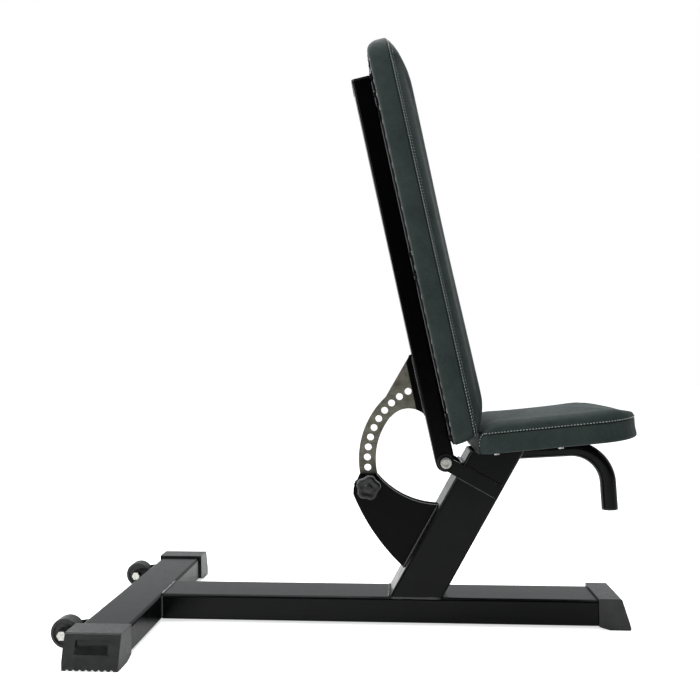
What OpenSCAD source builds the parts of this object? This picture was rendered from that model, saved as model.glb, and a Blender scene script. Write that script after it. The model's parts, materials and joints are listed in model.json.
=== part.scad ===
// Adjustable weight bench: a T-shaped base, a leaning post, a fixed seat with a front handle,
// and a back that tilts on a pivot bolt and locks on an arc plate with a pull pin.
// +X points to the front (seat end), +Y to the user's left, +Z up. The origin is on the floor,
// under the centre of the overall box. Side outlines are drawn in bench coordinates, where X = 0
// is the centre line of the cross tube, and every sub-part is then moved by bench().

/* [Base] */
// Width of the beam, cross tube and post
beam_w = 90; // [86:1:96]
// Height of the beam and cross tube
beam_h = 50; // [46:1:54]
// Wall of the large tubes
wall = 3; // [2.5:0.5:3.5]
// Half the length of the cross tube
cross_half = 247.5; // [235:0.5:260]
// Front end of the main beam, from the centre line of the cross tube
beam_end = 930.5; // [925:0.5:936]
// Rubber under and around each tube end
cap_wall = 4.5; // [4:0.5:5.5]
// Radius of a transport wheel
wheel_r = 27; // [24:0.5:28]
// Distance of each wheel's centre from the centre plane
wheel_y = 174; // [150:1:190]

/* [Post] */
// Lean of the post from vertical
post_lean = 29.5; // [28:0.5:31]
// Rear face of the post where it stands on the beam
post_x = 498; // [494:1:502]

/* [Back] */
// Lean of the back from vertical at its steepest setting
back_lean = 11.7; // [11:0.1:12.5]
// Pivot height above the floor
pivot_z = 316.5; // [314:0.5:319]
// Pivot distance in front of the cross tube
pivot_x = 610.5; // [608:0.5:613]
// Radius of the row of selector holes
arc_r = 154.5; // [153:0.5:156]
// Angle between neighbouring holes
hole_pitch = 7.6; // [7.4:0.1:7.6]
// Number of evenly spaced holes, not counting the steepest one
hole_count = 10; // [8:1:10]
// Length of the back pad
back_len = 785;
board_top = 19;          // more of the board's top end is left off than at its other edges // [740:1:780]

/* [Seat] */
// Upward slope of the seat to its front
seat_tilt = 5.5; // [5:0.1:6]
// Thickness of both pads, with their boards
pad_t = 64; // [60:1:64]
// Width of both pads
pad_w = 270; // [250:1:280]

/* [Hidden] */
$fn = 64;
slip = 0.05;             // radial clearance of a running fit
eps = 0.1;               // gap between fixed pieces that nest
corner_r = 6;            // outside corner of the large tubes
floor_gap = cap_wall;    // the tubes stand on the rubber
beam_top = floor_gap + beam_h;
cross_front = beam_w / 2;

// foot caps, in a frame whose X runs outwards from the cap's inner end
cap_top_len = 43;
cap_len = 61;
cap_w = beam_w + 2 * cap_wall;
cap_h = beam_top + cap_wall;
socket_depth = 35;
cap_inner_y = cross_half - socket_depth + 0.5;
cap_inner_x = beam_end - socket_depth + 0.5;
groove_pitch = 11;
groove_r = 3.6;

// transport wheels
wheel_x = -85;
wheel_z = 29;
wheel_w = 27;
axle_r = 5;
ear_gap = 1;
ear_t = 4;

front_x = cap_inner_x + cap_len;
rear_x = wheel_x - wheel_r;
mid_x = (front_x + rear_x) / 2;

// pivot
bolt_r = 6;
arm_t = 8;
arm_h = 26;
arm_len = 118;
arm_y = beam_w / 2 + arm_t / 2;
tube_w = 80;             // across the bench
tube_d = 38;             // front to back
tube_wall = 2.5;
tube_top = 775;
sleeve_r = 14;
bush_r = 10;
flange_t = beam_w / 2 - tube_w / 2 - 0.5;
washer_t = 2.5;
bolt_side = beam_w / 2 + arm_t + washer_t;
// distance of the pivot behind the post's rear face
pivot_off = (pivot_z - beam_top) * sin(post_lean) - (pivot_x - post_x) * cos(post_lean);

// selector
arc_t = 8;
band = 34.4;
hole_r = 7;
flat_hole = 183.9 - (90 - back_lean);
pin_local = 183.9;
arc_mount_t = 3.5;
notch_c = [-57.1, 69.4];
notch_r = 46.5;
pin_world = pin_local + back_lean;
pin_xz = [pivot_x + arc_r * cos(pin_world), pivot_z + arc_r * sin(pin_world)];
gusset_in = 8;
gusset_t = 6;
pin_r = 6;
pull = 18;               // travel of the pin
house_in = gusset_in + gusset_t;
house_len = 46;
house_r = 11.5;
house_bore = 9.8;
house_floor = 4;
nut_t = 7;
pin_tip = -6.5;          // tip of the pulled pin
knob_gap = 1;
knob_t = 16;
knob_r = 24;
collar_t = 3;
house_out = house_in + house_len;
knob_y = -(house_out + knob_gap + pull);
collar_y = -(house_in + 5 + pull);
spring_y = -house_out + house_floor + 0.5;
spring_len = collar_y - collar_t - 0.5 - spring_y;
spring_r = 8.1;
spring_wire = 0.9;
spring_turns = 5;
spring_steps = 16;
spring_sides = 6;

// pads and boards
board_t = 12;
board_inset = 9;
plate_t = 4;
back_pad_x = tube_d / 2 + plate_t;
back_low = 37;
bracket_w = 210;
bracket_h = 60;
bracket_z = [68, 387, 740];
pad_bolt_y = 85;
pad_bolt_dz = 18;
seat_x = 712;
seat_z = 347;
seat_rear = -50;
seat_front = 258;
seat_screw_x = [-11, 107];
seat_screw_y = 95;
shank_r = 4;
head_r = 5.5;
head_t = 3.5;

// front handle
grip_r = 15.5;
grip_wall = 2.5;
grip_z = 333.2;
grip_slope = 3;
grip_run = 98;
bend_r = 70;
grip_drop = 50;

// ---------- outlines ----------

function unit(v) = v / norm(v);
function angle_of(v) = atan2(v[1], v[0]);

// points of the arc that rounds corner p, between its neighbours a and b, with radius r
function fillet(a, p, b, r) =
    r == 0 ? [p] :
    let (u = unit(a - p), v = unit(b - p), half = acos(u * v) / 2,
         c = p + unit(u + v) * r / sin(half), t = r / tan(half),
         a1 = angle_of(p + u * t - c), turn = (angle_of(p + v * t - c) - a1 + 540) % 360 - 180,
         n = max(3, ceil(abs(turn) / 9)))
    [for (k = [0:n]) c + r * [cos(a1 + turn * k / n), sin(a1 + turn * k / n)]];

// outline through corners [x, y, radius]
function rounded(q) = let (n = len(q)) [for (i = [0:n - 1])
    let (a = q[(i + n - 1) % n], p = q[i], b = q[(i + 1) % n])
    each fillet([a[0], a[1]], [p[0], p[1]], [b[0], b[1]], p[2])];

// centre of the circle through three points
function circle_centre(a, b, c) =
    let (d = 2 * (a[0] * (b[1] - c[1]) + b[0] * (c[1] - a[1]) + c[0] * (a[1] - b[1])))
    [((a * a) * (b[1] - c[1]) + (b * b) * (c[1] - a[1]) + (c * c) * (a[1] - b[1])) / d,
     ((a * a) * (c[0] - b[0]) + (b * b) * (a[0] - c[0]) + (c * c) * (b[0] - a[0])) / d];

// bench coordinates of the post's rear face at height z
function post_rear(z) = post_x + (z - beam_top) * tan(post_lean);

module rrect(w, h, r) {
    square([w - 2 * r, h], center = true);
    square([w, h - 2 * r], center = true);
    for (x = [-1, 1], y = [-1, 1])
        translate([x * (w / 2 - r), y * (h / 2 - r)]) circle(r);
}

module tube_section(w, h, r, t) {
    difference() {
        rrect(w, h, r);
        rrect(w - 2 * t, h - 2 * t, r - t);
    }
}

module disc_through(a, b, c) {
    centre = circle_centre(a, b, c);
    translate(centre) circle(norm(a - centre), $fn = 128);
}

// ---------- frames ----------

module bench() translate([-mid_x, 0, 0]) children();
module at_post() bench() translate([post_x, 0, beam_top]) rotate([0, post_lean, 0]) children();
module at_arm() bench() translate([pivot_x, 0, pivot_z]) rotate([0, post_lean, 0]) children();
module at_back() bench() translate([pivot_x, 0, pivot_z]) rotate([0, -back_lean, 0]) children();
module at_seat() bench() translate([seat_x, 0, seat_z]) rotate([0, -seat_tilt, 0]) children();
module at_pin() bench() translate([pin_xz[0], 0, pin_xz[1]]) children();

// a sheet of thickness t, centred on y, from an outline in X and Z
module sheet_y(t, y = 0) translate([0, y, 0]) rotate([90, 0, 0]) linear_extrude(t, center = true) children();
// a rod along Y from y0 to y1
module rod_y(r, y0, y1) translate([0, y0, 0]) rotate([-90, 0, 0]) cylinder(r = r, h = y1 - y0);
// a rod along X from x0 to x1
module rod_x(r, x0, x1) translate([x0, 0, 0]) rotate([0, 90, 0]) cylinder(r = r, h = x1 - x0);

// ---------- base ----------

module main_beam() color("#17181a") bench()
    translate([cross_front, 0, floor_gap + beam_h / 2]) rotate([90, 0, 90])
        linear_extrude(beam_end - cross_front) tube_section(beam_w, beam_h, corner_r, wall);

module cross_tube() color("#17181a") bench()
    translate([0, 0, floor_gap + beam_h / 2]) rotate([90, 0, 0])
        linear_extrude(2 * cross_half, center = true) tube_section(beam_w, beam_h, corner_r, wall);

// rubber end cap: a socket for the tube, a face that slopes out to the floor, and a grooved sole
module foot_cap() {
    face_lean = atan((cap_len - cap_top_len) / cap_h);
    difference() {
        intersection() {
            sheet_y(cap_w) polygon(rounded([[0, 6, 1], [0, cap_h, 1.5], [cap_top_len, cap_h, 4],
                [cap_len, 0, 3], [20, 0, 4]]));
            linear_extrude(cap_h) polygon(rounded([[0, -cap_w / 2, 0], [cap_len, -cap_w / 2, 6],
                [cap_len, cap_w / 2, 6], [0, cap_w / 2, 0]]));
        }
        translate([-1, 0, floor_gap + beam_h / 2]) rotate([90, 0, 90]) linear_extrude(socket_depth + 1)
            rrect(beam_w + 2 * eps, beam_h + 2 * eps, corner_r + eps);
        translate([cap_len, 0, 0]) rotate([0, -face_lean, 0]) translate([-1.5, 0, 38])
            cube([3, 58, 23], center = true);
        for (i = [-3.5:3.5]) translate([0, i * groove_pitch, 0]) rod_x(groove_r, 14, cap_len + 1);
    }
}

module foot_cap_front() color("#1c1c1c") bench() translate([cap_inner_x, 0, 0]) foot_cap();
module foot_cap_left() color("#1c1c1c") bench() translate([0, cap_inner_y, 0]) rotate([0, 0, 90]) foot_cap();
module foot_cap_right() color("#1c1c1c") bench() translate([0, -cap_inner_y, 0]) rotate([0, 0, -90]) foot_cap();

// ---------- post ----------

module post() color("#141517") difference() {
    at_post() translate([beam_w / 2, 0, -80]) linear_extrude(520)
        tube_section(beam_w, beam_w, corner_r, wall);
    bench() translate([post_x - 200, -60, beam_top - 200]) cube([500, 120, 200]);
    at_seat() translate([-250, -60, -plate_t]) cube([500, 120, 260]);
    // slot for the arc plate where it swings into the post
    at_post() translate([-1, -arc_t / 2 - 2, 86]) cube([wall + 2, arc_t + 4, 84]);
}

// the gussets end 8 mm under the back tube, which passes over them as it lies down
gusset_top = pin_xz[1] + 14.5;

// crescent plate between the post and the selector housing
module gusset(side) color("#141517") bench()
    sheet_y(gusset_t, side * (gusset_in + gusset_t / 2)) difference() {
        union() {
            intersection() {
                disc_through([432, 238], [463.7, 179.2], [526.4, 104.7]);
                polygon([[428, 262], [441, gusset_top], [post_rear(gusset_top), gusset_top],
                    [post_rear(beam_top), beam_top], [420, beam_top]]);
            }
            translate(pin_xz) intersection() {
                circle(33);
                polygon(rounded([[-36, -40, 0], [-36, -8, 6], [-12, 14.5, 10], [36, 14.5, 0],
                    [36, -40, 0]]));
            }
        }
        disc_through([472.5, 292], [516, 252.5], [606.8, 228.5]);
        translate(pin_xz) circle(pin_r + 0.3);
    }

module gusset_left() gusset(1);
module gusset_right() gusset(-1);

module pivot_arm(side) color("#141517") at_arm() sheet_y(arm_t, side * arm_y) difference() {
    union() {
        circle(arm_h / 2);
        polygon(rounded([[0, -arm_h / 2, 0], [arm_len, -arm_h / 2, 3], [arm_len, arm_h / 2, 3],
            [0, arm_h / 2, 0]]));
    }
    circle(bolt_r + slip);
}

module pivot_arm_left() pivot_arm(1);
module pivot_arm_right() pivot_arm(-1);

// plate that ties the two arms together on the rear face of the post
module pivot_web() color("#141517") at_arm()
    sheet_y(beam_w) polygon(rounded([[pivot_off - 5, -arm_h / 2, 0], [pivot_off, -arm_h / 2, 0],
        [pivot_off, 17, 0], [pivot_off - 5, 17, 3]]));

module pivot_bolt() color("silver") at_arm() {
    difference() {
        union() {
            rod_y(bolt_r, -bolt_side, bolt_side + 16);
            rod_y(8.5, -bolt_side - 7, -bolt_side);
        }
        translate([0, -bolt_side - 8, 0]) rotate([-90, 0, 0]) cylinder(d = 11, h = 6, $fn = 6);
    }
}

module pivot_washers() color("silver") at_arm() for (side = [-1, 1]) difference() {
    rod_y(10.5, side * (bolt_side - washer_t / 2) - washer_t / 2, side * (bolt_side - washer_t / 2) + washer_t / 2);
    rod_y(bolt_r + eps, -bolt_side - 1, bolt_side + 1);
}

module pivot_nut() color("silver") at_arm() difference() {
    translate([0, bolt_side, 0]) rotate([-90, 0, 0]) cylinder(d = 21, h = 11, $fn = 6);
    rod_y(bolt_r + slip, bolt_side - 1, bolt_side + 12);
}

// ---------- selector ----------

module selector_housing() color("#101010") at_pin() difference() {
    rod_y(house_r, -house_out, -house_in);
    rod_y(house_bore, -house_out + house_floor, -house_in + 1);
    rod_y(pin_r + slip, -house_out - 1, -house_in);
}

module housing_nut() color("#2a2a2a") at_pin() difference() {
    translate([0, -house_in - nut_t, 0]) rotate([-90, 0, 0]) cylinder(d = 30, h = nut_t, $fn = 6);
    rod_y(house_r + eps, -house_in - nut_t - 1, -house_in + 1);
}

// spring of the pull pin, compressed between the collar and the housing's end wall:
// a round wire swept along a helix
module selector_spring() color("#8a8d90") at_pin() translate([0, spring_y, 0]) rotate([-90, 0, 0]) {
    rings = spring_turns * spring_steps;
    points = [for (i = [0:rings], k = [0:spring_sides - 1])
        let (a = 360 * i / spring_steps, b = 360 * k / spring_sides,
            r = spring_r + spring_wire * cos(b))
        [r * cos(a), r * sin(a), spring_wire + (spring_len - 2 * spring_wire) * i / rings + spring_wire * sin(b)]];
    sides = [for (i = [0:rings - 1], k = [0:spring_sides - 1])
        let (m = (k + 1) % spring_sides, p = i * spring_sides, q = p + spring_sides)
        [p + k, q + k, q + m, p + m]];
    ends = [[for (k = [0:spring_sides - 1]) k],
        [for (k = [spring_sides - 1:-1:0]) rings * spring_sides + k]];
    polyhedron(points, concat(sides, ends), convexity = 6);
}

module selector_pin() color("silver") at_pin() rod_y(pin_r, knob_y - knob_t + 3, pin_tip);

module pin_collar() color("silver") at_pin() difference() {
    rod_y(house_bore - 0.6, collar_y - collar_t, collar_y);
    rod_y(pin_r + slip, collar_y - collar_t - 1, collar_y + 1);
}

// star knob with five lobes, blind bored for the pin
module selector_knob() color("#151515") at_pin() difference() {
    sheet_y(knob_t, knob_y - knob_t / 2) difference() {
        circle(knob_r);
        for (k = [0:4]) rotate(54 + 72 * k) translate([knob_r + 7.5, 0]) circle(10);
    }
    rod_y(pin_r + slip, knob_y - knob_t + 3 - eps, knob_y + 1);
}

// ---------- seat ----------

module seat_plate(x, w) at_seat() difference() {
    translate([x, 0, -plate_t]) linear_extrude(plate_t) rrect(w, bracket_w, 5);
    for (side = [-1, 1]) translate([seat_screw_x[x > 50 ? 1 : 0], side * seat_screw_y, -plate_t - 1])
        cylinder(r = shank_r + 0.2, h = plate_t + 2);
}

module seat_plate_rear() color("#141517") seat_plate(-2, 88);
module seat_plate_front() color("#141517") seat_plate(seat_screw_x[1], 40);

module seat_screws() color("silver") at_seat()
    for (x = seat_screw_x, side = [-1, 1]) translate([x, side * seat_screw_y, -plate_t]) {
        cylinder(r = shank_r, h = plate_t + board_t - 2);
        translate([0, 0, -head_t]) cylinder(r = head_r, h = head_t);
    }

// plan of the seat, drawn inset by d
module seat_plan(d) polygon(rounded([
    [seat_rear + d, d - pad_w / 2, 24 - d], [seat_front - d, d - pad_w / 2, 85 - d],
    [seat_front - d, pad_w / 2 - d, 85 - d], [seat_rear + d, pad_w / 2 - d, 24 - d]]));

module seat_board() color("#26201a") at_seat() difference() {
    linear_extrude(board_t) seat_plan(board_inset);
    for (x = seat_screw_x, side = [-1, 1]) translate([x, side * seat_screw_y, -1])
        cylinder(r = shank_r + 0.2, h = board_t);
}

module seat_pad() color("#262c2b") at_seat() difference() {
    intersection() {
        linear_extrude(pad_t) seat_plan(0);
        sheet_y(pad_w) polygon(rounded([[seat_rear, 0, 3], [seat_front, 0, 8],
            [seat_front, pad_t - 20, 10], [seat_front - 85, pad_t, 95], [seat_rear, pad_t, 60]]));
        translate([seat_rear, 0, 0]) rotate([90, 0, 90]) linear_extrude(seat_front - seat_rear)
            polygon(rounded([[-pad_w / 2, 0, 6], [pad_w / 2, 0, 6], [pad_w / 2, pad_t, 26],
                [-pad_w / 2, pad_t, 26]]));
    }
    translate([0, 0, -1]) linear_extrude(board_t + 1 + eps) seat_plan(board_inset - eps);
}

// ---------- front handle ----------

module at_grip() bench() translate([post_rear(grip_z) + beam_w / cos(post_lean), 0, grip_z])
    rotate([0, -grip_slope, 0]) children();
// frame of the handle's lower leg, whose X runs down from the bend
module at_leg() at_grip() translate([grip_run, 0, -bend_r]) rotate([0, 90, 0])
    translate([0, 0, bend_r]) children();

module grip_section() difference() {
    circle(grip_r);
    circle(grip_r - grip_wall);
}

module handle_tube() color("#101112") difference() {
    union() {
        at_grip() translate([-20, 0, 0]) rotate([0, 90, 0]) linear_extrude(grip_run + 20) grip_section();
        at_grip() translate([grip_run, 0, -bend_r]) rotate([0, -90, -90])
            rotate_extrude(angle = 90) translate([bend_r, 0]) grip_section();
        at_leg() rotate([0, 90, 0]) linear_extrude(grip_drop) grip_section();
    }
    at_post() translate([-10, -60, -80]) cube([beam_w + 10, 120, 520]);
}

module handle_plug() color("#151515") at_leg() translate([grip_drop, 0, 0]) {
    rod_x(grip_r, 0.05, 3);
    rod_x(grip_r - grip_wall - eps, -14, 0.05);
}

// ---------- transport wheels ----------

module at_wheel(side) bench() translate([wheel_x, side * wheel_y, wheel_z]) children();

// fork of two ears and a back plate, welded to the rear face of the cross tube
module wheel_bracket(side) color("#141517") at_wheel(side) {
    reach = -cross_front - wheel_x;
    difference() {
        union() {
            for (s = [-1, 1]) sheet_y(ear_t, s * (wheel_w / 2 + ear_gap + ear_t / 2))
                polygon(rounded([[-10, -10, 9.9], [reach, -17, 2], [reach, 17, 2], [-10, 10, 9.9]]));
            translate([reach - 3, -wheel_w / 2 - ear_gap - 1, -15]) cube([3, wheel_w + 2 * ear_gap + 2, 30]);
        }
        rod_y(axle_r + slip, -30, 30);
    }
}

module wheel_bracket_left() wheel_bracket(1);
module wheel_bracket_right() wheel_bracket(-1);

module wheel_axle(side) color("silver") at_wheel(side) {
    out = wheel_w / 2 + ear_gap + ear_t;
    rod_y(axle_r, -out, out + 10);
    translate([0, -out - 6.5, 0]) rotate([-90, 0, 0]) cylinder(d = 18, h = 6.5, $fn = 6);
}

module wheel_axle_left() wheel_axle(1);
module wheel_axle_right() wheel_axle(-1);

module wheel_axle_nuts() color("silver") for (side = [-1, 1]) at_wheel(side) difference() {
    translate([0, wheel_w / 2 + ear_gap + ear_t, 0]) rotate([-90, 0, 0]) cylinder(d = 18, h = 8, $fn = 6);
    rod_y(axle_r + eps, wheel_w / 2, wheel_w);
}

// solid rubber wheel: a rounded tread, dished sides and a plain bore
module wheel(side) color("#191919") at_wheel(side) rotate([90, 0, 0]) rotate_extrude() difference() {
    translate([axle_r + slip, -wheel_w / 2]) polygon(rounded([[0, 0, 0], [wheel_r - axle_r - slip, 0, 4],
        [wheel_r - axle_r - slip, wheel_w, 4], [0, wheel_w, 0]]));
    for (s = [-1, 1]) translate([16, s * wheel_w / 2]) rrect(9, 6, 1.5);
}

module wheel_left() wheel(1);
module wheel_right() wheel(-1);

// ---------- back ----------

module back_tube() color("#0f1012") at_back() difference() {
    intersection() {
        translate([0, 0, -tube_d]) linear_extrude(tube_top + tube_d)
            tube_section(tube_d, tube_w, 5, tube_wall);
        union() {
            translate([-tube_d, -tube_w, 0]) cube([2 * tube_d, 2 * tube_w, tube_top]);
            rod_y(tube_d / 2, -tube_w, tube_w);
        }
    }
    rod_y(sleeve_r + slip, -tube_w, tube_w);
}

module back_tube_cap() color("#151515") at_back() {
    translate([0, 0, tube_top]) linear_extrude(4) rrect(tube_d, tube_w + 3, 6);
    translate([-1, 0, tube_top]) linear_extrude(4) rrect(tube_d, tube_w + 3, 6);
    translate([0, 0, tube_top - 16]) linear_extrude(16)
        rrect(tube_d - 2 * tube_wall - 2 * eps, tube_w - 2 * tube_wall - 2 * eps, 2.4);
}

module pivot_sleeve() color("#2b2c2e") at_back() difference() {
    rod_y(sleeve_r, -tube_w / 2, tube_w / 2);
    rod_y(bush_r + slip, -tube_w, tube_w);
}

module pivot_bush(side) color("#3a3a38") at_back() mirror([0, side < 0 ? 1 : 0, 0]) difference() {
    union() {
        rod_y(bush_r, tube_w / 2 - 18, tube_w / 2 + flange_t);
        rod_y(sleeve_r + 2, tube_w / 2 + eps, tube_w / 2 + flange_t);
    }
    rod_y(bolt_r + slip, tube_w / 2 - 20, tube_w / 2 + 20);
}

module pivot_bush_left() pivot_bush(1);
module pivot_bush_right() pivot_bush(-1);

module selector_arc() color("#6f6d62") at_back() difference() {
    reach = arc_r + band / 2;
    union() {
        sheet_y(arc_t) intersection() {
            difference() {
                circle(reach, $fn = 128);
                circle(arc_r - band / 2, $fn = 128);
            }
            polygon([[0, 0], 2 * reach * [cos(108), sin(108)], 2 * reach * [cos(150), sin(150)],
                2 * reach * [cos(pin_local), sin(pin_local)]]);
        }
        sheet_y(arc_t) rotate(pin_local) translate([arc_r, 0]) circle(band / 2);
        sheet_y(arc_t) polygon([[-95, 140], [-25.2, 217], [-tube_d / 2, 221], [-tube_d / 2, 85],
            [-84, 100], [-95, 125]]);
    }
    sheet_y(arc_t + 1) translate(notch_c) circle(notch_r);
    for (k = [0:hole_count - 1])
        sheet_y(arc_t + 1) rotate(flat_hole + k * hole_pitch) translate([arc_r, 0]) circle(hole_r);
    sheet_y(arc_t + 1) rotate(pin_local) translate([arc_r, 0]) circle(hole_r);
}

module arc_mount(side) color("#101112") at_back()
    sheet_y(arc_mount_t, side * (arc_t + arc_mount_t) / 2) difference() {
        polygon(rounded([[-tube_d / 2, 85, 0], [-tube_d / 2, 220, 0], [-24, 220, 3], [-33, 204, 5],
            [-33, 85, 0]]));
        translate(notch_c) circle(notch_r);
    }

module arc_mount_left() arc_mount(1);
module arc_mount_right() arc_mount(-1);

module pad_bracket(z) color("#101112") at_back() difference() {
    translate([tube_d / 2 + plate_t / 2, 0, z]) rotate([90, 0, 90])
        linear_extrude(plate_t, center = true) rrect(bracket_w, bracket_h, 6);
    for (s = [-1, 1], t = [-1, 1]) translate([0, s * pad_bolt_y, z + t * pad_bolt_dz])
        rod_x(shank_r + 0.2, 0, tube_d);
}

module pad_bracket_top() pad_bracket(bracket_z[2]);
module pad_bracket_middle() pad_bracket(bracket_z[1]);
module pad_bracket_low() pad_bracket(bracket_z[0]);

module pad_bolts() color("silver") at_back()
    for (z = bracket_z, s = [-1, 1], t = [-1, 1]) translate([0, s * pad_bolt_y, z + t * pad_bolt_dz]) {
        rod_x(shank_r, tube_d / 2, back_pad_x + board_t - 2);
        rod_x(head_r, tube_d / 2 - head_t, tube_d / 2);
    }

// face outline of the back pad, drawn inset by d; X runs up the back
module back_plan(d) polygon(rounded([
    [back_low + d, d - pad_w / 2, 30 - d], [back_low + back_len - d, d - pad_w / 2, 50 - d],
    [back_low + back_len - d, pad_w / 2 - d, 50 - d], [back_low + d, pad_w / 2 - d, 30 - d]]));

// a slab drawn by back_plan, from x0 forwards by t
module back_slab(x0, t, d) translate([x0 + t, 0, 0]) rotate([0, -90, 0]) linear_extrude(t) back_plan(d);

// the back's board, which stops short of the pad's rounded top
module board_slab(x0, t, d) intersection() {
    back_slab(x0, t, d);
    translate([x0 - 1, -pad_w, back_low]) cube([t + 2, 2 * pad_w, back_len - board_top - d]);
}

module back_board() color("#26201a") at_back() difference() {
    board_slab(back_pad_x, board_t, board_inset);
    for (z = bracket_z, s = [-1, 1], t = [-1, 1]) translate([0, s * pad_bolt_y, z + t * pad_bolt_dz])
        rod_x(shank_r + 0.2, 0, back_pad_x + board_t - 1);
}

module back_pad() color("#262c2b") at_back() difference() {
    intersection() {
        back_slab(back_pad_x, pad_t, 0);
        sheet_y(pad_w) polygon(rounded([
            [back_pad_x, back_low, 5], [back_pad_x + pad_t, back_low, 56],
            [back_pad_x + pad_t, back_low + back_len - 90, 100],
            [back_pad_x + pad_t - 20, back_low + back_len, 10], [back_pad_x, back_low + back_len, 28]]));
        translate([0, 0, back_low]) linear_extrude(back_len) polygon(rounded([
            [back_pad_x, -pad_w / 2, 6], [back_pad_x + pad_t, -pad_w / 2, 26],
            [back_pad_x + pad_t, pad_w / 2, 26], [back_pad_x, pad_w / 2, 6]]));
    }
    board_slab(back_pad_x - 1, board_t + 1 + eps, board_inset - eps);
}

main_beam();
cross_tube();
foot_cap_front();
foot_cap_left();
foot_cap_right();
post();
gusset_left();
gusset_right();
pivot_arm_left();
pivot_arm_right();
pivot_web();
pivot_bolt();
pivot_washers();
pivot_nut();
selector_housing();
housing_nut();
selector_spring();
seat_plate_rear();
seat_plate_front();
seat_screws();
seat_board();
seat_pad();
handle_tube();
handle_plug();
wheel_bracket_left();
wheel_bracket_right();
wheel_axle_left();
wheel_axle_right();
wheel_axle_nuts();
wheel_left();
wheel_right();
selector_pin();
pin_collar();
selector_knob();
back_tube();
back_tube_cap();
pivot_sleeve();
pivot_bush_left();
pivot_bush_right();
selector_arc();
arc_mount_left();
arc_mount_right();
pad_bracket_top();
pad_bracket_middle();
pad_bracket_low();
pad_bolts();
back_board();
back_pad();
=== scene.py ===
"""Looks of an adjustable weight bench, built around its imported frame.

The frame's steel, rubber and plastic pieces keep their shapes and get finishes. The two pads, their
stitching and staples, the star knob and the weld beads are made here, in the frame's own metres.
"""

import json
import logging
import math
from abc import ABC, abstractmethod
from dataclasses import dataclass, field
from enum import Enum

import bmesh
import bpy
import numpy as np
from mathutils import Matrix, Vector

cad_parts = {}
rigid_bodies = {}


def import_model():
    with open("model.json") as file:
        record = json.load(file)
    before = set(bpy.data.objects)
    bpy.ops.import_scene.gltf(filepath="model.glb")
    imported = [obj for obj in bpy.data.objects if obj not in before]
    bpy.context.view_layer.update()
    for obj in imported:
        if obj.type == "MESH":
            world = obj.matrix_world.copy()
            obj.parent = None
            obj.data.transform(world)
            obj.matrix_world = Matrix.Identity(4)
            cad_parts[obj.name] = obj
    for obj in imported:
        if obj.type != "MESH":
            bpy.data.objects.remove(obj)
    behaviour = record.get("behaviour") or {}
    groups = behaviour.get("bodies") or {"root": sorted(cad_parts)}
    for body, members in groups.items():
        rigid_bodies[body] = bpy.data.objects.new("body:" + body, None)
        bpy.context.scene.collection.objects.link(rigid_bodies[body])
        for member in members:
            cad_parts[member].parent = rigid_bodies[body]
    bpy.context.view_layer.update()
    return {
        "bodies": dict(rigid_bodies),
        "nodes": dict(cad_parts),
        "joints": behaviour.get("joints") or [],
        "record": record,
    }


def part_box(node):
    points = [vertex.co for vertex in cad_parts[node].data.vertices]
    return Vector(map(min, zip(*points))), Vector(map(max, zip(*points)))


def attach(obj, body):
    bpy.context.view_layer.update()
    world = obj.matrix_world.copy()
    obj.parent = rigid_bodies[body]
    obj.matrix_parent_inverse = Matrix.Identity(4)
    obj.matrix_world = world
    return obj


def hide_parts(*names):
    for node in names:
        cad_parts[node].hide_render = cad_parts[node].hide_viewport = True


LOG = logging.getLogger("bench")
MM = 0.001
Tree = bpy.types.NodeTree
Node = bpy.types.Node
Socket = bpy.types.NodeSocket
Settings = dict[str | int, object]
Links = dict[str | int, Socket]


# ---------------------------------------------------------------- colours and shader nodes


def linear(code: str, alpha: float = 1.0) -> tuple[float, float, float, float]:
    """Turn an sRGB hex colour into linear light.

    Args:
        code: six hex digits, with or without a leading mark.
        alpha: opacity of the result.

    Returns:
        Red, green and blue as c / 12.92 below 0.04045 and ((c + 0.055) / 1.055) ** 2.4 above, and alpha.
    """
    digits = code.lstrip("#")
    srgb = np.array([int(digits[i : i + 2], 16) for i in (0, 2, 4)]) / 255.0
    light = np.where(srgb <= 0.04045, srgb / 12.92, ((srgb + 0.055) / 1.055) ** 2.4)
    return (float(light[0]), float(light[1]), float(light[2]), alpha)


def add_node(
    tree: Tree, kind: str, settings: Settings | None = None, links: Links | None = None
) -> Node:
    """Add a shader node, set it up and link its inputs.

    Args:
        tree: the node tree to add to.
        kind: Blender's name of the node type.
        settings: socket names or node properties, with their values.
        links: input socket names or numbers, with the output sockets that feed them.

    Returns:
        The new node.
    """
    node = tree.nodes.new(kind)
    for name, value in (settings or {}).items():
        if isinstance(name, int) or name in node.inputs:
            node.inputs[name].default_value = value
        else:
            setattr(node, name, value)
    for name, source in (links or {}).items():
        tree.links.new(source, node.inputs[name])
    return node


def calc(tree: Tree, operation: str, *terms: Socket | float) -> Socket:
    """Math node on sockets or plain numbers.

    Args:
        tree: the node tree to add to.
        operation: Blender's name of the operation.
        terms: its inputs in order, each a socket or a number.

    Returns:
        The result's socket.
    """
    numbers: Settings = {k: term for k, term in enumerate(terms) if isinstance(term, float)}
    links: Links = {k: term for k, term in enumerate(terms) if not isinstance(term, float)}
    return add_node(tree, "ShaderNodeMath", {"operation": operation, **numbers}, links).outputs[0]


def darken(tree: Tree, colour: Socket, factor: Socket, tone: str) -> Socket:
    """Multiply a colour by a hex tone where the factor is 1, and leave it alone where it is 0."""
    settings: Settings = {"data_type": "RGBA", "blend_type": "MULTIPLY"}
    mix = add_node(tree, "ShaderNodeMix", settings, {"Factor": factor})
    tree.links.new(colour, mix.inputs["A"])
    mix.inputs["B"].default_value = linear(tone)
    return mix.outputs["Result"]


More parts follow.
